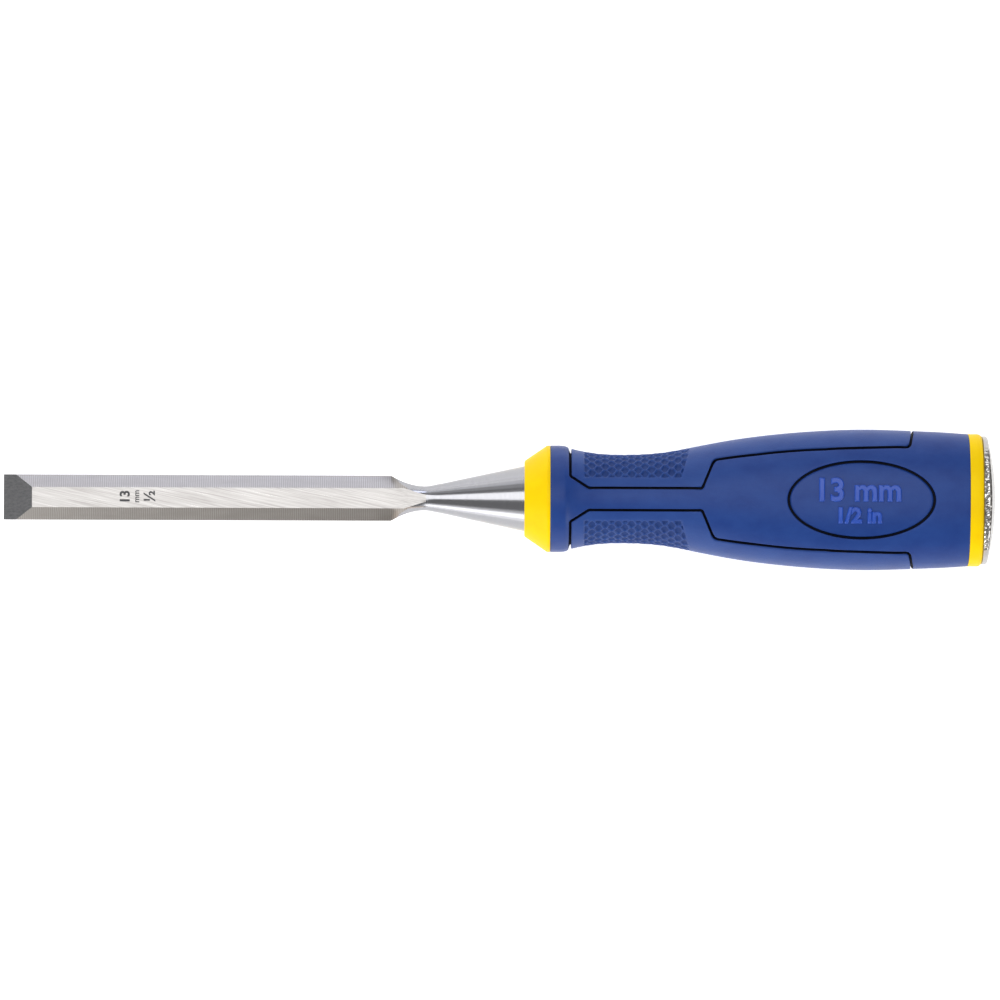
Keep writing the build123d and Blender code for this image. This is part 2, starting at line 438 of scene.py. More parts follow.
def blade_rows(x, *sizes):
    """Rings at x. Each is a flat of half width `flat` at height `top` over the axis, and two flanks below it.

    A flank is a mix of the bar's bevel, edge and back, and of an ellipse y = half sin t, z = c cos t that
    starts at the flat's corner. Past the neck the flat bends into the same ellipse."""
    half, top, below, flat, flank_roundness, flat_roundness = [size[:, None] for size in sizes]
    corner_turn = np.arcsin(flat / half)
    flank_turn = corner_turn + (math.pi - corner_turn) * down_the_flank
    turn = np.where(on_flat, corner_turn * wide / FLAT_HALF, flank_turn)
    round_y = half * np.sin(turn)
    round_z = np.where(turn < math.pi / 2, top / np.cos(corner_turn), below) * np.cos(turn)
    bar_y = np.where(wide > FLAT_HALF, flat + out_of_flat * (half - flat), flat * wide / FLAT_HALF)
    bar_y = np.where(on_back, half * wide / blade_half, bar_y)
    upper_stretch = (top - land_z) / (blade_thick - LAND)
    bar_z = land_z + above_land * np.where(above_land > 0, upper_stretch, (below + land_z) / LAND)
    mix = np.where(on_flat, flat_roundness, flank_roundness)
    y = np.sign(bar_ring[:, 0]) * ((1 - mix) * bar_y + mix * round_y)
    z = axis_z + (1 - mix) * bar_z + mix * round_z
    return np.stack([np.broadcast_to(x[:, None], y.shape), y, z], axis=-1)


def blade_sizes(x):
    """At x: half width, top, depth below the axis, half flat, and how round the flanks and the flat are."""
    half = np.where(x < SHOULDER_X, blade_half, smooth_through(x, half_knots, half_values))
    crown = math.cos(math.asin(POINT_HALF / CONE_RADIUS))
    top = rounded_corner((CONE_RADIUS + (x - CONE_X) * cone_slope) * crown, blade_thick - axis_z, 0.25)
    below = np.where(x > CONE_X, half, smooth_through(x, below_knots, below_values))
    narrowing = FLAT_HALF - (x - FLAT_NARROWS) * (FLAT_HALF - POINT_HALF) / (FLAT_POINT - FLAT_NARROWS)
    narrowing = np.minimum(rounded_corner(narrowing, POINT_HALF, 0.3), FLAT_HALF)
    flat = np.where(x > CONE_X, half * POINT_HALF / CONE_RADIUS, narrowing)
    top = np.where(x > CONE_X, half * crown, top)
    return half, top, below, flat, smooth_step(x, SHOULDER_X + 0.6, 120.5), smooth_step(x, 119.5, CONE_X)


bevel_x = blade_thick / math.tan(EDGE_ANGLE)
bar_x = np.concatenate([[bevel_x], np.linspace(bevel_x + 0.6, SHOULDER_X, 24)])
neck_x = np.concatenate([np.arange(SHOULDER_X + 0.35, 127, 0.35), np.linspace(127.5, bolster_x, 16)])
bar = blade_rows(bar_x, *blade_sizes(bar_x))
bar[0, :, 0] = bar_ring[:, 1] / math.tan(EDGE_ANGLE)  # the first ring lies in the plane of the cutting bevel
neck = blade_rows(neck_x, *blade_sizes(neck_x))
neck_rows = np.concatenate([bar[-1:], neck])
print(len(bar), "rings on the bar and", len(neck), "on the neck")


def round_the_axis(x, radius, angle):
    """Points at this radius and angle about the handle's axis."""
    x, radius, angle = np.broadcast_arrays(x, radius, angle)
    return np.stack([x, radius * np.sin(angle), axis_z + radius * np.cos(angle)], axis=-1)


# A square's radius in each direction is half its width over the larger of the sine and the cosine.
square = 1 / np.maximum(abs(np.sin(ring_angle)), abs(np.cos(ring_angle)))
TANG_ROOT, TANG_TIP = 4.0, 2.5  # half widths of the square tang
tang_sections = ((bolster_x, TANG_ROOT), (blade_high[0], TANG_TIP), (blade_high[0], 0))
tang = np.stack([neck[-1], *(round_the_axis(x, half * square, ring_angle) for x, half in tang_sections)])

# %% [markdown]
# The cutting bevel is flat. Its far edge is the first ring's upper chain of points and its near edge is the
# cutting edge, so rows of points shared out between the two fill it.

# %% Cutting bevel and the finished blade
top_chain = bar[0, : upper_count + 1]
edge_chain = bar[0, (np.arange(2 * upper_count, upper_count - 1, -1)) % len(bar_ring)]
share = np.linspace(0, 1, 9)[:, None, None]
cutting_bevel = (1 - share) * edge_chain + share * top_chain

FLAT, BEVEL, EDGE, BACK, POLISH = range(5)
blade_steels = [flat_steel, side_steel, edge_steel, back_steel, polished_steel]
BAR_FINISH = {"land": BEVEL, "bevel": BEVEL, "flat": FLAT, "back": BACK}
FLANK_GROUND_END = 112.8  # the cross grinding runs out here at the side of the blade
FLANK_GROUND_RUN = 3.8  # and this much further back beside the flat
BACK_GROUND_END = 114.0
side_names = [name for name, steps in SIDES] + ["back"]
column_side = np.repeat(side_names, [steps for name, steps in SIDES] + [upper_count])
bar_finish = np.tile([BAR_FINISH[name] for name in column_side], (len(bar) - 1, 1))
middle_x = (neck_rows[1:, :1, 0] + neck_rows[:-1, :1, 0]) / 2
flank_end = FLANK_GROUND_END + FLANK_GROUND_RUN * (1 - out_of_flat)
neck_finish = np.full((len(middle_x), len(bar_ring)), POLISH)
neck_finish[(column_side == "flat") & (middle_x < FLAT_GROUND_END)] = FLAT
neck_finish[np.isin(column_side, ["bevel", "land"]) & (middle_x < flank_end)] = BEVEL
neck_finish[(column_side == "back") & (middle_x < BACK_GROUND_END)] = BACK
facets = [
    (bar, False, True, bar_finish),
    (cutting_bevel, False, False, EDGE),
    (neck_rows, False, True, neck_finish),
    (tang, False, True, BACK),
]
blade = make_piece("forged_blade", facets, blade_steels, sharp_degrees=14.0, crisp_finishes=True)
place(blade, "blade_steel", "blade")

# %% [markdown]
# ## Rings turned about the handle's axis
#
# The yellow collar is a solid of revolution with a pocket inside for the core. Its profile is a closed loop
# of corners, each rounded by an arc, carried round the axis.

# %% Rounded profiles


def rounded_path(corners, radii, arc_steps=5):
    """The path through the corners, with an arc that touches both sides in place of each inner corner."""
    corners = np.array(corners, float)
    path = [corners[0]]
    for before, corner, after, radius in zip(corners, corners[1:], corners[2:], radii):
        back, ahead = before - corner, after - corner
        back, ahead = back / np.linalg.norm(back), ahead / np.linalg.norm(ahead)
        half_turn = math.acos(np.clip(back @ ahead, -1, 1)) / 2
        middle = (back + ahead) / np.linalg.norm(back + ahead)
        centre = corner + middle * radius / math.sin(half_turn)
        start = corner + back * radius / math.tan(half_turn) - centre
        end = corner + ahead * radius / math.tan(half_turn) - centre
        angle = math.acos(np.clip(start @ end / radius**2, -1, 1))
        for t in np.linspace(0, 1, arc_steps):
            swung = math.sin((1 - t) * angle) * start + math.sin(t * angle) * end
            path.append(centre + swung / math.sin(angle))
    path.append(corners[-1])
    return np.array(path)


# %% Front collar
COLLAR_FRONT_RADIUS = 10.85
COLLAR_WALL = 2.0
TANG_HOLE = 5.7  # clears the corners of the square tang
collar_corners = [
    (bolster_x, TANG_HOLE),
    (bolster_x, COLLAR_FRONT_RADIUS),
    (grip_x - 0.9, collar_radius),
    (grip_x, collar_radius),
    (grip_x, core_radius),
    (bolster_x + COLLAR_WALL, core_radius),
    (bolster_x + COLLAR_WALL, TANG_HOLE),
    (bolster_x, TANG_HOLE),
]
collar_x, collar_r = np.hsplit(rounded_path(collar_corners, [0.7, 0.5, 0.12, 0.1, 0.1, 0.1])[:-1], 2)
collar_grid = round_the_axis(collar_x, collar_r, np.linspace(0, 2 * math.pi, 144, endpoint=False))
front_collar = make_piece("yellow_front_collar", [(collar_grid, True, True, 0)], [yellow_plastic])
place(front_collar, "yellow_plastic", "front_collar")

# %% [markdown]
# ## The handle's skin
#
# The handle is round at the waist and a flattened oval at the palm. A superellipse covers both: its
# exponent is 2 for an ellipse and grows as the section gets squarer. Width, thickness and exponent are read
# from the CAD skin at a few stations and a smooth curve joins them.

# %% Section sizes along the handle
STATIONS = [164.5, 167.0, 170.4, 174.5, 179.0, 184.0, 189.4, 194.5, 199.8, 205.0, 210.1, 216.0, 222.0, 228.0]
STATIONS += [235.0, 241.5, 248.0, 255.0, 259.5, 264.0, 270.0, 276.8]
SIDE_RAY = math.radians(30.0)  # above the horizontal, clear of every groove


def squareness(half_width, half_height, distance, angle):
    """The exponent n that makes |y/a|^n + |z/b|^n equal 1 at this distance along the angle, by halving."""
    low, high = 1.6, 4.0
    for _ in range(40):
        n = (low + high) / 2
        across, upward = distance * math.cos(angle) / half_width, distance * math.sin(angle) / half_height
        total = across**n + upward**n
        low, high = (n, high) if total > 1 else (low, n)
    return n


half_widths = [skin_distance(x, 1, 0, axis_z) for x in STATIONS]
half_heights = [skin_distance(x, 0, 1, axis_z) for x in STATIONS]
side_distances = [skin_distance(x, math.cos(SIDE_RAY), math.sin(SIDE_RAY), axis_z) for x in STATIONS]
exponents = [squareness(a, b, d, SIDE_RAY) for a, b, d in zip(half_widths, half_heights, side_distances)]
print("half widths", np.round(half_widths, 2))
print("half heights", np.round(half_heights, 2))
print("exponents", np.round(exponents, 2))

# The collar is a round band with a rounded rear edge that dips to the grip.
BAND_X = [grip_x, grip_x + 1.5, grip_x + 3.2, grip_x + 4.4, grip_x + 5.3]
BAND_DROP = [0.0, 0.0, 0.03, 0.2, 0.6]
knots = BAND_X + STATIONS
width_knots = [collar_radius - drop for drop in BAND_DROP] + half_widths
height_knots = [collar_radius - drop for drop in BAND_DROP] + half_heights
exponent_knots = [2.0] * len(BAND_X) + exponents


def section(x):
    """Half width, half height and exponent of the handle's section at x."""
    x = np.clip(x, grip_x, ring_x)
    return (
        smooth_through(x, knots, width_knots),
        smooth_through(x, knots, height_knots),
        smooth_through(x, knots, exponent_knots),
    )


def on_skin(x, angle, inset=0.0):
    """Points of the handle's skin. The radius r at an angle from the top makes |y/a|^n + |z/b|^n equal 1."""
    a, b, n = section(x)
    across, upward = abs(np.sin(angle)) / (a - inset), abs(np.cos(angle)) / (b - inset)
    radius = (across**n + upward**n) ** (-1 / n)
    return np.stack([x + 0 * radius, radius * np.sin(angle), axis_z + radius * np.cos(angle)], axis=-1)


def angle_at(x, y):
    """Angle from the top at which the skin is y across."""
    a, b, n = section(x)
    share = np.clip(y / a, 0, 0.99999)
    return np.arctan2(y, b * (1 - share**n) ** (1 / n))


# %% [markdown]
# ## The grooves round the side pads
#
# Each soft pad is let into the handle with a dark groove all round it. Seen from above, the groove's inner
# line runs along the waist, steps out where the palm begins and turns out to the side near the rear. The
# body's recess ends on the outer edge of the groove and the pad on the inner edge, so one path and its
# offset give both.

# %% Groove path
GROOVE = 0.75
DEPTH = 1.35
recess_front = pad_low[0] - GROOVE
recess_rear = pad_high[0] + GROOVE
recess_y = pad_low[1] - GROOVE
groove_corners = [
    (recess_front, 12.0),
    (recess_front, recess_y + 3.6),
    (recess_front + 5.6, recess_y),
    (recess_front + 38.3, recess_y),
    (recess_front + 41.8, recess_y + 8.3),
    (recess_front + 63.5, recess_y + 11.1),
    (recess_rear - 1.3, recess_y + 12.1),
    (recess_rear, recess_y + 17.2),
]
groove_path = rounded_path(groove_corners, [0.9, 2.0, 1.2, 1.8, 200.0, 1.8], 9)


def offset_path(path, distance):
    """The path moved sideways by the distance, each point along the mean of its two sides' normals."""
    step = np.gradient(path, axis=0)
    step /= np.linalg.norm(step, axis=1)[:, None]
    normal = np.stack([-step[:, 1], step[:, 0]], axis=1)
    return path + distance * normal


def edge_y(x, path):
    """How far across the path is at x, for a path that never turns back."""
    rising = np.maximum.accumulate(path[:, 0] + 1e-6 * np.arange(len(path)))
    return np.interp(x, rising, path[:, 1])


pad_path = offset_path(groove_path, GROOVE)
print("groove from", groove_path[0], "to", groove_path[-1])


END_STEPS = 38  # points across each end of the pad


def closed_edge(path, front, rear):
    """The pad's outline on the skin as a closed 3-D line: over the top, round the rear and back below."""
    inside = (path[:, 0] > front) & (path[:, 0] < rear)
    x = np.concatenate([[front], path[inside, 0], [rear]])
    angle = angle_at(x, edge_y(x, path))
    sweep = np.linspace(0, 1, END_STEPS + 2)[1:-1]
    rear_angle = angle[-1] + (math.pi - 2 * angle[-1]) * sweep
    front_angle = math.pi - angle[0] - (math.pi - 2 * angle[0]) * sweep
    x = np.concatenate([x, np.full(END_STEPS, rear), x[::-1], np.full(END_STEPS, front)])
    angle = np.concatenate([angle, rear_angle, math.pi - angle[::-1], front_angle])
    return on_skin(x, angle)


def distance_to(points, line):
    """Distance from each point to a closed line: the least of the distances to its straight stretches."""
    flat = points.reshape(-1, 3)
    start, end = line, np.roll(line, -1, axis=0)
    along = end - start
    length2 = np.maximum((along**2).sum(1), 1e-12)
    nearest = np.empty(len(flat))
    for first in range(0, len(flat), 4000):
        block = flat[first : first + 4000, None, :]
        share = np.clip(((block - start) * along).sum(2) / length2, 0, 1)
        gap = block - start - share[..., None] * along
        nearest[first : first + 4000] = np.sqrt((gap**2).sum(2)).min(1)
    return nearest.reshape(points.shape[:2])


def edge_rounding(distance, radius):
    """How far a rounded edge has dropped at this distance in from it: a quarter circle."""
    inside = np.clip(radius - distance, 0, radius)
    return radius - np.sqrt(radius**2 - inside**2)


# %% [markdown]
# ## The grip pads
#
# The pads are soft elastomer with a net of raised ribs round six-sided dimples at the waist, where the
# fingers hold. A bump map would leave the outline smooth, so the net is real relief in the grid, fine
# enough to show against the light.

# %% Pad texture
CELL = 3.8  # along the handle
ROW = 1.4  # round the handle, between one row of cells and the next
STRETCH = 1.0  # above 1 the cells' flat sides lie along the handle
RELIEF = 0.5
WAIST_RADIUS = 12.9  # turns an angle into a distance round the grip
TEXTURE_FRONT, TEXTURE_REAR = 167.0, 196.8
TEXTURE_Y = 6.3


def net_depth(along, around):
    """Depth of a net of six-sided cells, from 0 on a rib to 1 in the middle of a dimple.

    The cells' middles are a lattice with every other row shifted half a cell. A place belongs to the nearest
    middle, and a rib stands where a second is nearly as near. The rest is dished: 1 less a share of the
    square of the distance from the middle."""
    row = np.floor(around / ROW)
    distances = []
    for step_row in (-1, 0, 1, 2):
        r = row + step_row
        shift = 0.5 * (r % 2)
        column = np.round(along / CELL - shift)
        for step_column in (-1, 0, 1):
            dx = (along - (column + step_column + shift) * CELL) * STRETCH
            distances.append(np.hypot(dx, around - r * ROW))
    nearest = np.sort(np.stack(distances), axis=0)
    dish = 1 - 0.45 * np.clip(nearest[0] / ROW, 0, 1) ** 2
    return smooth_step(nearest[1] - nearest[0], 0.15, 0.75) * dish


def texture_mask(x, y):
    """1 inside the textured field and 0 outside, with a sloping rear border."""
    rear = TEXTURE_REAR - 2.2 + 0.3 * (abs(y) - TEXTURE_Y)
    ends = smooth_step(x, TEXTURE_FRONT - 0.2, TEXTURE_FRONT + 0.2)
    ends = ends * (1 - smooth_step(x, rear - 0.2, rear + 0.2))
    return ends * smooth_step(abs(y), TEXTURE_Y - 0.25, TEXTURE_Y + 0.25)


# %% Pad surface
EDGE_STEPS = np.array([0, 0.05, 0.12, 0.22, 0.36, 0.55])
STEP_FRONT, STEP_REAR = 199.5, 206.0  # the groove steps outwards between these
HALF_GIRTH = 34.0  # about half way round the handle
EDGE_ROUNDING = 0.35


def fine_steps(zones):
    """Positions through zones of (start, end, spacing), evenly spaced in each."""
    parts = [np.linspace(s, e, max(2, round((e - s) / d)), endpoint=False) for s, e, d in zones]
    return np.concatenate([*parts, [zones[-1][1]]])


RUBBER, DIMPLE, WALL = range(3)


def make_pad(side):
    """A pad's skin: rows along the handle, columns from its top edge round the side to its bottom edge."""
    front, rear = pad_low[0], pad_high[0]
    zones = [(front + 0.55, STEP_FRONT, 0.27), (STEP_FRONT, STEP_REAR, 0.2)]
    zones += [(STEP_REAR, 256.5, 0.9), (256.5, rear - 0.55, 0.25)]
    near_ends = [front + EDGE_STEPS[:-1], fine_steps(zones), rear - EDGE_STEPS[-2::-1]]
    x = np.concatenate([[front], *near_ends, [rear]])
    share_step = EDGE_STEPS / HALF_GIRTH
    middle = np.linspace(share_step[-1], 1 - share_step[-1], 118)
    share = np.concatenate([[0], share_step[:-1], middle, 1 - share_step[-2::-1], [1]])
    top = angle_at(x, edge_y(x, pad_path))[:, None]
    angle = top + (math.pi - 2 * top) * share
    grid_x = np.broadcast_to(x[:, None], angle.shape)
    skin = on_skin(grid_x, angle)
    distance = distance_to(skin, closed_edge(pad_path, front, rear))
    around = (angle - math.pi / 2) * WAIST_RADIUS
    net = texture_mask(grid_x, skin[..., 1]) * net_depth(grid_x, around)
    inset = edge_rounding(distance, EDGE_ROUNDING) + RELIEF * net
    inset[[0, -1], :] = DEPTH
    inset[:, [0, -1]] = DEPTH
    outer = on_skin(grid_x, angle, inset)
    floor = on_skin(grid_x, angle, np.full(angle.shape, DEPTH))
    outer[..., 1] *= side
    floor[..., 1] *= side
    mean_net = (net[1:, 1:] + net[1:, :-1] + net[:-1, 1:] + net[:-1, :-1]) / 4
    # Faces deep in a dimple take the darker rubber: painted shade.
    finish = np.where(mean_net > 0.5, DIMPLE, RUBBER)
    # The pad's sides down into the groove take the groove's painted shade.
    finish[[0, -1], :] = WALL  # it drops into the groove
    finish[:, [0, -1]] = WALL
    return [(outer, False, False, finish), (floor, False, False, RUBBER)]


pad_materials = [blue_rubber, dimple_shade_rubber, groove_shade_plastic]
for side, side_name in ((1, "left"), (-1, "right")):
    pad = make_piece(f"soft_grip_pad_{side_name}", make_pad(side), pad_materials, 50.0)
    place(pad, "blue_soft_grip", f"grip_pad_{side_name}")

# %% [markdown]
# ## The handle body
#
# The hard blue shell runs from the collar to the rear ring. Its grid follows the grooves: columns bend with
# the groove's path, so the wall of each recess falls on one line of points, stepping straight down. The
# oval recess of the badge would cut across those columns, so a block of the grid is left out there, and
# rings of points that change from the block's edge to the oval fill it.

# %% Columns and rows of the body
STRIP = np.linspace(0, 1, 12)  # shares of the way from the handle's ridge to the side of the block
BAND = np.array([0.15, 0.3, 0.45, 0.58, 0.7, 0.8, 0.88, 0.94, 0.975, 0.993])  # and on to the groove
BLOCK_Y = 13.2  # the block's side runs straight on here when the groove turns out
SIDE = len(STRIP) - 1
RECESS_WALL = np.array([0, 0.03, 0.08, 0.2, 0.35, 0.5])
badge_x = (badge_low[0] + badge_high[0]) / 2
badge_half = (badge_high - badge_low)[:2] / 2  # half length and half width of the oval plate
BLOCK_MARGIN = 3.4  # from the oval to the ends of the block that is left out


def body_columns(x):
    """Angles of the grid's columns at each x, right round from the top, and which columns lie in a recess."""
    y = edge_y(np.clip(x, recess_front + 0.02, recess_rear - 0.02), groove_path)
    top = angle_at(x, y)[:, None]
    across = np.concatenate([RECESS_WALL, 1 - RECESS_WALL[-2::-1]])
    floor_angles = top + (math.pi - 2 * top) * across
    block = np.minimum(0.93 * top, angle_at(x, BLOCK_Y)[:, None])
    to_groove = np.concatenate([block * STRIP, block + (top - block) * BAND, top], axis=1)
    half = np.concatenate([to_groove, floor_angles, math.pi - to_groove[:, ::-1]], axis=1)
    in_recess = np.zeros(half.shape[1], bool)
    in_recess[to_groove.shape[1] : to_groove.shape[1] + len(across)] = True
    angles = np.concatenate([half, 2 * math.pi - half[:, -2:0:-1]], axis=1)
    return angles, np.concatenate([in_recess, in_recess[-2:0:-1]])


def body_rows():
    """Positions of the rows along the handle, and the first and last that cross the recess."""
    edge = EDGE_STEPS[:-1]
    before = fine_steps([(grip_x + 0.3, grip_x + 3.0, 0.45), (grip_x + 3.0, recess_front - 0.5, 0.25)])
    front = fine_steps([(recess_front + 0.4, recess_front + 7, 0.35), (recess_front + 7, STEP_FRONT, 0.8)])
    rear = fine_steps([(STEP_REAR, recess_rear - 3.0, 0.8), (recess_rear - 3.0, recess_rear - 0.06, 0.2)])
    middle = np.concatenate([front[:-1], fine_steps([(STEP_FRONT, STEP_REAR, 0.2)])[:-1], rear])
    after = fine_steps([(recess_rear + 0.6, ring_x - 0.3, 0.7)])
    front_edge, rear_edge = recess_front - edge[::-1], recess_rear + edge
    parts = [before, front_edge, [recess_front], middle, [recess_rear], rear_edge, after]
    first = len(before) + len(edge)
    return np.concatenate(parts), first + 1, first + len(middle)


# %% Body grid
body_x, first_row, last_row = body_rows()
angles, recess_columns = body_columns(body_x)
grid_x = np.broadcast_to(body_x[:, None], angles.shape)
left_edge = closed_edge(groove_path, recess_front, recess_rear)
right_edge = left_edge * np.array([1, -1, 1])


def below_edges(points, *edges):
    """How far the skin drops near the nearest of these edges, which are rounded."""
    return edge_rounding(np.min([distance_to(points, edge) for edge in edges], axis=0), 0.3)


inset = below_edges(on_skin(grid_x, angles), left_edge, right_edge)
inset[first_row : last_row + 1, recess_columns] = DEPTH
skin = np.roll(on_skin(grid_x, angles, inset), SIDE, axis=1)  # the first column is now the block's right side


def end_rings(x, outward):
    """The small rounded rim and flat end face of the body, from the skin in to the core's hole."""
    angle = np.roll(angles[0] if outward < 0 else angles[-1], SIDE)
    steps = ((0.1, 0.02), (0.2, 0.06), (0.27, 0.13), (0.3, 0.25))
    rings = [on_skin(np.full(len(angle), x - outward * (0.3 - run)), angle, drop) for run, drop in steps]
    return np.stack([*rings, round_the_axis(x, core_radius, angle)])


front_rings = end_rings(grip_x, -1)[::-1]
rear_rings = end_rings(ring_x, 1)

# %% [markdown]
# The rings between the block and the oval are laid out flat, seen from above, and then lifted on to the
# skin. Near an edge they lie close together, so that its rounding shows.

# %% Oval recess
TO_OVAL = np.array([0, 0.01, 0.025, 0.05, 0.1, 0.2, 0.35, 0.5, 0.65, 0.8, 0.9, 0.95, 0.975, 0.99, 1])[:, None]
block_ends = badge_x + np.array([-1, 1]) * (badge_half[0] + GROOVE + BLOCK_MARGIN)
row_a, row_b = [int(np.argmin(abs(body_x - x))) for x in block_ends]
strip_end = 2 * SIDE
bottom_start = angles.shape[1] // 2
bottom_end = bottom_start + strip_end


def lifted(x, y, inset=0.0):
    """Points of the upper skin at x and y: z = b (1 - |y/a|^n)^(1/n) above the axis."""
    a, b, n = section(x)
    share = np.clip(abs(y) / (a - inset), 0, 0.9999)
    return np.stack([x, y, axis_z + (b - inset) * (1 - share**n) ** (1 / n)], axis=-1)


def oval(turn, gap):
    """Points of the oval that is gap outside the badge, at these turns of its stretched circle."""
    return badge_x + (badge_half[0] + gap) * np.cos(turn), (badge_half[1] + gap) * np.sin(turn)


front_and_left = [skin[row_a, :strip_end], skin[row_a:row_b, strip_end]]
rear_and_right = [skin[row_b, strip_end:0:-1], skin[row_b:row_a:-1, 0]]
rim = np.concatenate(front_and_left + rear_and_right)
turn = np.arctan2(rim[:, 1] / badge_half[1], (rim[:, 0] - badge_x) / badge_half[0])
oval_x, oval_y = oval(turn, GROOVE)
flat_x = (1 - TO_OVAL) * rim[:, 0] + TO_OVAL * oval_x
flat_y = (1 - TO_OVAL) * rim[:, 1] + TO_OVAL * oval_y
oval_edge = lifted(oval_x, oval_y)
shoulder = lifted(flat_x, flat_y, below_edges(lifted(flat_x, flat_y), left_edge, right_edge, oval_edge))
shoulder[0] = rim
IN_TO_MIDDLE = np.array([1, 0.97, 0.9, 0.6, 0.3, 0])[:, None]
sunk = lifted(badge_x + IN_TO_MIDDLE * (oval_x - badge_x), IN_TO_MIDDLE * oval_y, DEPTH)
oval_recess = np.concatenate([shoulder, sunk])


def underneath(grid):
    """The same grid on the underside, mirrored through the handle's axis plane."""
    return grid * np.array([1, 1, -1]) + np.array([0, 0, 2 * axis_z])


# %% Body piece
palm = skin[row_a : row_b + 1]
body_patches = [
    (np.concatenate([front_rings, skin[: row_a + 1]]), False, True, 0),
    (palm[:, strip_end : bottom_start + 1], False, False, 0),
    (np.hstack([palm[:, bottom_end:], palm[:, :1]]), False, False, 0),
    (np.concatenate([skin[row_b:], rear_rings]), False, True, 0),
    (np.stack([front_rings[0], rear_rings[-1]]), False, True, 0),
    (oval_recess, False, True, 0),
    (underneath(oval_recess), False, True, 0),
]
body_piece = make_piece("blue_handle_body", body_patches, [blue_plastic, groove_shade_plastic], 50.0)
recess_end = max(recess_rear, badge_x + badge_half[0] + GROOVE) + 0.2


def darken_grooves(piece):
    """Gives the second material, painted shade, to the faces sunk below the skin: the walls and floors of the
    recesses.
    """
    mesh = piece.data
    middles = np.empty(3 * len(mesh.polygons))
    mesh.polygons.foreach_get("center", middles)
    x, y, z = (middles.reshape(-1, 3) / MM).T
    surface = on_skin(x, np.arctan2(y, z - axis_z))
    depth = np.hypot(surface[:, 1], surface[:, 2] - axis_z) - np.hypot(y, z - axis_z)
    sunk = (depth > 0.45) & (x > recess_front - 0.1) & (x < recess_end - 0.1)
    mesh.polygons.foreach_set("material_index", sunk.astype(np.int32))
    print(f"{piece.name}: {sunk.sum()} faces in the grooves")


darken_grooves(body_piece)
place(body_piece, "blue_handle", "handle_body")

# %% [markdown]
# ## The oval badges
#
# An oval plate is let into the top and the bottom of the palm. Its face lies a little under the handle's
# skin and carries raised figures: here only the tool's size, in plain figures. The figures start as text,
# are made a mesh, and are cut into narrow strips, so that they can bend over the plate.

# %% Badge plates
PLATE_SINK = 0.45
FIGURE_SLOPE = 0.3  # the sloping sides of the raised figures
PLATE_EDGE = np.array([0, 0.04, 0.1, 0.18, 0.28, 0.4, 0.6])  # distances in from the plate's edge


def badge_grid():
    """The plate from the middle of its back round its edge to the middle of its face."""
    turn = np.linspace(0, 2 * math.pi, 200, endpoint=False)[None, :]
    inward = np.concatenate([PLATE_EDGE, np.linspace(1.0, badge_half[1], 12)])[:, None]
    edge_x, edge_y_values = oval(turn, 0.0)
    share = 1 - inward / badge_half[1]
    x = badge_x + share * (edge_x - badge_x)
    y = share * edge_y_values
    face = lifted(x, y, PLATE_SINK + edge_rounding(inward, EDGE_ROUNDING))
    back = lifted(x[[-1, 0]], y[[-1, 0]], DEPTH)
    return np.concatenate([back, face])


def add_figures(name, words, height, middle, lift, finish, depth, slope=0.0, bold=0.0, turn=0.0, strip=0.0):
    """Figures of the given height in mm about the middle, lifted on to the surface from flat x, y and z.

    The text becomes a mesh with sloping sides. Cut into strips this wide, it can bend."""
    curve = bpy.data.curves.new(name, "FONT")
    curve.body = words
    curve.align_x, curve.align_y = "CENTER", "CENTER"
    curve.size = height / 0.72  # a capital is this share of the font's size
    curve.extrude = depth
    curve.bevel_depth = slope
    curve.bevel_resolution = 0
    curve.offset = bold
    curve.resolution_u = 4
    written = bpy.data.objects.new(name, curve)
    bpy.context.scene.collection.objects.link(written)
    mesh = bpy.data.meshes.new_from_object(written)
    mesh.name = name
    bpy.data.objects.remove(written)
    shape = bmesh.new()
    shape.from_mesh(mesh)
    bmesh.ops.remove_doubles(shape, verts=shape.verts, dist=1e-4)
    width = max(v.co.x for v in shape.verts)
    if strip:
        for normal, reach in (((1, 0, 0), width), ((0, 1, 0), height)):
            for cut in np.arange(-reach, reach, strip):
                parts = [*shape.verts, *shape.edges, *shape.faces]
                bmesh.ops.bisect_plane(shape, geom=parts, plane_co=cut * Vector(normal), plane_no=normal)
    shape.to_mesh(mesh)
    points = np.empty(3 * len(mesh.vertices))
    mesh.vertices.foreach_get("co", points)
    points = points.reshape(-1, 3)
    centred = points - (points.max(0) + points.min(0)) / 2
    x = middle[0] + centred[:, 0] * math.cos(turn) - centred[:, 1] * math.sin(turn)
    y = middle[1] + centred[:, 0] * math.sin(turn) + centred[:, 1] * math.cos(turn)
    mesh.vertices.foreach_set("co", (lift(x, y, points[:, 2]) * MM).ravel())
    shape.clear()
    shape.from_mesh(mesh)
    bmesh.ops.recalc_face_normals(shape, faces=shape.faces)
    shape.to_mesh(mesh)
    shape.free()
    material, slot = finish
    mesh.materials.clear()
    mesh.materials.append(material)
    piece = bpy.data.objects.new(name, mesh)
    bpy.context.scene.collection.objects.link(piece)
    print(f"{name}: {len(mesh.polygons)} faces")
    return place(piece, slot)


def above_plate(x, y, z):
    """Places over the upper badge, with the tops of the figures just under the handle's skin."""
    return lifted(x, y, 0.02 + z.max() - z)


def below_plate(x, y, z):
    """The same on the underside, mirrored so that the figures read right from below."""
    return underneath(above_plate(x, -y, z))


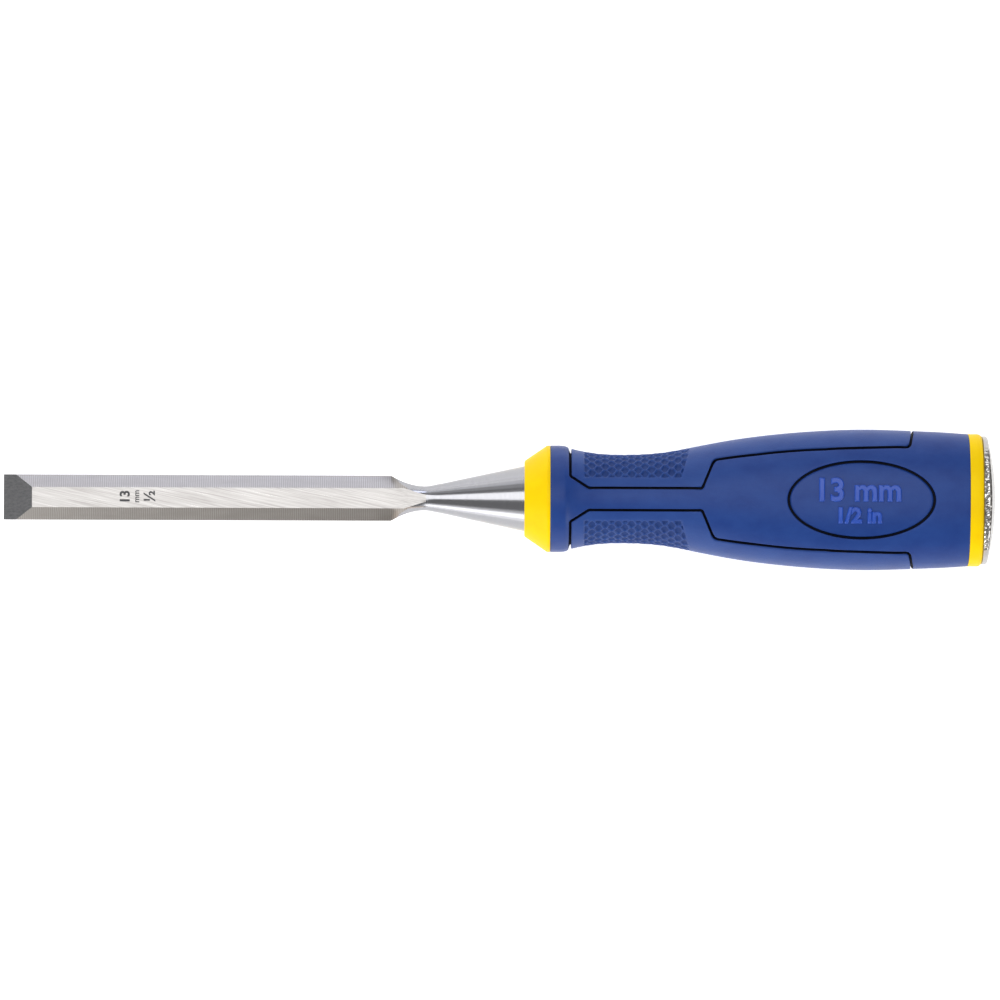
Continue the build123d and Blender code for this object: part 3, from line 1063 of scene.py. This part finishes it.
BADGE_LINES = (("millimetres", "13 mm", 6.4, -0.4, 2.9), ("inches", "1/2 in", 4.2, -0.4, -4.4))
BADGE_FIGURES = {"depth": 0.3, "slope": FIGURE_SLOPE, "bold": 0.08, "strip": 1.0}
badge_finish = (figure_highlight_plastic, "blue_badge")
plate = badge_grid()
badges = (("top", plate, above_plate), ("bottom", underneath(plate), below_plate))
for side_name, plate, lift in badges:
    badge = make_piece(f"oval_badge_{side_name}", [(plate, False, True, 0)], [badge_plastic], 50.0)
    place(badge, "blue_badge", f"badge_{side_name}")
    for line_name, words, height, along, across in BADGE_LINES:
        name = f"badge_{side_name}_{line_name}"
        add_figures(name, words, height, (badge_x + along, across), lift, badge_finish, **BADGE_FIGURES)

# %% [markdown]
# ## Marks on the blade
#
# The blade's size is etched grey into its flat: thin figures that lie on the steel and are hardly thicker
# than paint. Colour mixed into the steel's own material could draw them too, but a font is simpler as a
# mesh. Other marks are left out.

# %% Etched size
MARK_RAISE = 0.012  # mm above the steel
MARK_SINK = 0.02  # mm below it
QUARTER = math.pi / 2
MARKS = (
    ("metric_size", "13", 2.8, 35.0, 0.35, 0.12),
    ("metric_unit", "mm", 1.7, 38.6, 0.3, 0.05),
    ("inch_size", "\u00bd", 3.2, 42.1, 0.35, 0.1),
)


def above_flat(x, y, z):
    """Places on the blade's flat: the figures' faces just above it and their backs just below."""
    return np.stack([x, y, blade_thick + np.where(z > 0, MARK_RAISE, -MARK_SINK)], axis=-1)


for mark_name, words, height, along, across, bold in MARKS:
    name = f"etched_{mark_name}"
    mark_finish = (etched_grey, "blade_steel")
    add_figures(name, words, height, (along, across), above_flat, mark_finish, 0.01, bold=bold, turn=QUARTER)

# %% [markdown]
# ## Rear ring and striking cap
#
# A yellow ring closes the rear of the handle. Behind it sits the steel plate that takes the mallet: a
# stamping with a domed face, whose sheared rim is torn and bright in the middle and smoother towards the
# sides.

# %% Rear ring
ring_a, ring_b, ring_n = [float(value[0]) for value in section(np.array([ring_x]))]
OVAL_STEPS = 360


def oval_radius(angle, inset):
    """Radius of the handle's oval end at an angle from the top."""
    across, upward = abs(np.sin(angle)) / (ring_a - inset), abs(np.cos(angle)) / (ring_b - inset)
    return (across**ring_n + upward**ring_n) ** (-1 / ring_n)


oval_angle = np.linspace(0, 2 * math.pi, OVAL_STEPS, endpoint=False)[None, :]
ring_profile = rounded_path([(ring_x, 6.0), (ring_x, 0.0), (cap_x, 0.0), (cap_x, 6.0)], [0.12, 1.2], 7)
ring_skin = round_the_axis(ring_profile[:, :1], oval_radius(oval_angle, ring_profile[:, 1:]), oval_angle)
ring_hole = round_the_axis(np.array([[cap_x], [ring_x]]), core_radius, oval_angle)
ring_grid = np.concatenate([ring_skin, ring_hole])
rear_ring = make_piece("yellow_rear_ring", [(ring_grid, True, True, 0)], [yellow_plastic])
place(rear_ring, "yellow_plastic", "rear_ring")

# %% Striking cap
CAP_STEP = ring_a - cap_high[1]  # the cap is this much smaller than the ring all round
DOME_RADIUS = 70.0
RIM_RADIUS = 0.9
STEM_RADIUS = 4.5
TORN_HALF_ANGLE = math.radians(52)  # the torn stretch of the rim, each way from the top and the bottom
cap_radius = oval_radius(oval_angle, CAP_STEP)


def lumps(angle, x, seed):
    """Torn metal: a sum of waves round the rim and across it, with seeded phases, between -1 and 1."""
    chance = np.random.default_rng(seed)
    total = np.zeros(np.broadcast(angle, x).shape)
    for _ in range(18):
        round_rim = chance.integers(14, 110)
        across_rim = chance.uniform(-2.4, 2.4)
        total += np.sin(round_rim * angle + across_rim * x + chance.uniform(0, 2 * math.pi))
    return np.clip(total / 5, -1, 1)


def dome_x(radius):
    """The dome: a sphere centred on the axis, DOME_RADIUS below the highest point."""
    return end_x - DOME_RADIUS + np.sqrt(DOME_RADIUS**2 - radius**2)


wall_share = np.linspace(0, 1, 16)[:, None]
wall_top = dome_x(cap_radius - RIM_RADIUS) - RIM_RADIUS
wall_x = cap_x + 0.15 + wall_share * (wall_top - cap_x - 0.15)
torn_end = math.sin(TORN_HALF_ANGLE)
torn = 1 - smooth_step(abs(np.sin(oval_angle)), torn_end - 0.05, torn_end + 0.03)
torn_depth = torn * (0.2 + 0.2 * lumps(oval_angle, wall_x, 5))
wall_wave = torn_depth * np.sin(np.clip(wall_share, 0.02, 1) * math.pi / 2)
wall = round_the_axis(wall_x, cap_radius - wall_wave, oval_angle)
quarter = np.linspace(0, math.pi / 2, 9)[1:, None]
rim_wave = wall_wave[-1:] * np.cos(quarter)
rim_radius = cap_radius - RIM_RADIUS + RIM_RADIUS * np.cos(quarter) - rim_wave
rim_ring = round_the_axis(wall_top + RIM_RADIUS * np.sin(quarter), rim_radius, oval_angle)
face_radius = (cap_radius - RIM_RADIUS) * np.linspace(1, 0, 24)[1:, None]
dome = round_the_axis(dome_x(face_radius), face_radius, oval_angle)
foot = [(cap_low[0], 0.0), (cap_low[0], STEM_RADIUS), (cap_x, STEM_RADIUS)]
stem = np.concatenate([round_the_axis(x, radius, oval_angle) for x, radius in foot])
plate_back = round_the_axis(cap_x, cap_radius - 0.15, oval_angle)
cap_grid = np.concatenate([stem, plate_back, wall, rim_ring, dome])
STAMPED, TORN, BURRED = range(3)
cap_steels = [cap_steel, torn_steel, burr_shade_cap_steel]
is_torn = torn[0] > 0.5
wall_start = len(stem) + 1
rim_start = wall_start + len(wall)
burr_rows = slice(rim_start + 2, rim_start + len(rim_ring) - 3)  # the middle of the rounded rim
cap_finish = np.full((len(cap_grid) - 1, OVAL_STEPS), STAMPED)
cap_finish[wall_start:rim_start, is_torn] = TORN
# The middle of the torn rim takes the near-black steel: painted shade.
cap_finish[burr_rows, is_torn] = BURRED
striking_cap = make_piece("domed_striking_cap", [(cap_grid, False, True, cap_finish)], cap_steels, 40.0)
place(striking_cap, "cap_steel", "striking_cap")

# %% Finish of the hidden core
core_materials = frame["nodes"]["handle_core"].data.materials
core_materials.clear()
core_materials.append(core_plastic)

# %% [markdown]
# ## Camera, floor and lights
#
# The camera looks straight down on the bevel side from far away, through a long lens that keeps near and
# far parts to one scale. The chisel lies on its edge and its palm on white paper that slopes to touch both.

# %% Camera
CAMERA_HEIGHT = 2.1
camera_data = bpy.data.cameras.new("catalogue_camera")
camera_data.lens = 263.0
camera_data.sensor_width = 36.0
camera_data.clip_end = 20.0
camera = bpy.data.objects.new("catalogue_camera", camera_data)
bpy.context.scene.collection.objects.link(camera)
camera.location = (end_x * MM / 2 + 0.0003, -0.0004, axis_z * MM + CAMERA_HEIGHT)
camera.rotation_euler = (0, 0, math.radians(0.2))
bpy.context.scene.camera = camera

# %% Floor
centre = Vector((end_x * MM / 2, 0, 0))
FLOOR_HALF = 6.0
FLOOR_GAP = 0.0002
widest = STATIONS.index(248.0)
slope = (half_heights[widest] - axis_z) / STATIONS[widest]  # from the edge down to the palm's lowest point
floor_points = []
for across_x, across_y in ((-1, -1), (1, -1), (1, 1), (-1, 1)):
    x = centre.x + across_x * FLOOR_HALF
    floor_points.append((x, across_y * FLOOR_HALF, -slope * x - FLOOR_GAP))
floor_mesh = bpy.data.meshes.new("floor")
floor_mesh.from_pydata(floor_points, [], [(0, 1, 2, 3)])
floor = bpy.data.objects.new("floor", floor_mesh)
bpy.context.scene.collection.objects.link(floor)
# Uncoated white paper, lit from below as well: matt, and pale even in shadow.
paper_values = {"Roughness": 0.9, "Base_Color": linear("#E6E6E6"), "Specular_IOR_Level": 0.0}
paper_values |= {"Emission_Color": linear("#FFFFFF"), "Emission_Strength": 0.72}
paper = start_material("white_paper_floor", **paper_values)[0]
floor_mesh.materials.append(paper)

# %% [markdown]
# Soft rectangular lights stand round the chisel, on a cylinder about its length. Polished steel shows each
# as a band, so their places are chosen from what each face mirrors. The cone slopes, and mirrors the lights
# that stand off towards the blade: one strip overhead, a low key on the near side with dimmer ones beside
# it, and weak ones on the far side, with dark gaps between. A side bevel mirrors only what is straight
# across from it, so each has a light of its own strength. The rest light the handle's sides and are out of
# the steel's sight.

# %% Lights
LIGHT_DISTANCE = 1.5


def add_softbox(name, degrees, half_angle, along, length, radiance, colour="#FFFFFF"):
    """A rectangular light at degrees from straight up towards +Y, centred at `along` on X.

    It reaches half_angle each way. Its power in watts is radiance times pi times its area."""
    angle = math.radians(degrees)
    data = bpy.data.lights.new(name, "AREA")
    data.shape = "RECTANGLE"
    data.size, data.size_y = length, 2 * LIGHT_DISTANCE * math.tan(math.radians(half_angle))
    data.energy = radiance * math.pi * data.size * data.size_y
    data.color = linear(colour)[:3]
    light = bpy.data.objects.new(name, data)
    bpy.context.scene.collection.objects.link(light)
    light.location = centre + Vector((along, 0, 0))
    light.location += LIGHT_DISTANCE * Vector((0, math.sin(angle), math.cos(angle)))
    light.rotation_euler = (-angle, 0, 0)
    return light


# Name, degrees from straight up, half angle, place along X, length, radiance and, if not white, colour.
SOFTBOXES = (
    ("overhead_strip", 11, 16, -0.4, 2.0, 2.3),
    ("low_key", -69, 10, -0.85, 1.0, 3.0),
    ("low_key_edge", -53, 6, -0.85, 1.0, 0.8),
    ("low_key_dim_end", -70, 9, -0.28, 0.14, 0.9),
    ("low_horizon", -86, 6, -0.85, 1.1, 1.9),
    ("low_left_light", -60, 14, -2.0, 1.4, 6.5),
    ("low_right_light", -60, 14, 1.9, 1.4, 7.0),
    ("low_warm_fill", -84, 8, 0.3, 1.0, 1.2, "#FFEAD4"),
    ("far_fill", 82, 7, 0.0, 2.2, 1.1),
    ("far_blade_light", 61, 8, -0.1, 0.6, 3.2, "#E4EAFF"),
    ("far_cone_light", 67, 10, -0.85, 0.9, 0.8),
    ("far_cone_dim_light", 48, 6, -0.85, 0.9, 0.3),
)
for softbox in SOFTBOXES:
    add_softbox(*softbox)
print(len(SOFTBOXES), "soft lights")

world = bpy.data.worlds.new("studio")
world.use_nodes = True
background = world.node_tree.nodes["Background"]
background.inputs["Color"].default_value = linear("#FFFFFF")
background.inputs["Strength"].default_value = 0.3
bpy.context.scene.world = world
bpy.context.scene.view_settings.view_transform = "Standard"
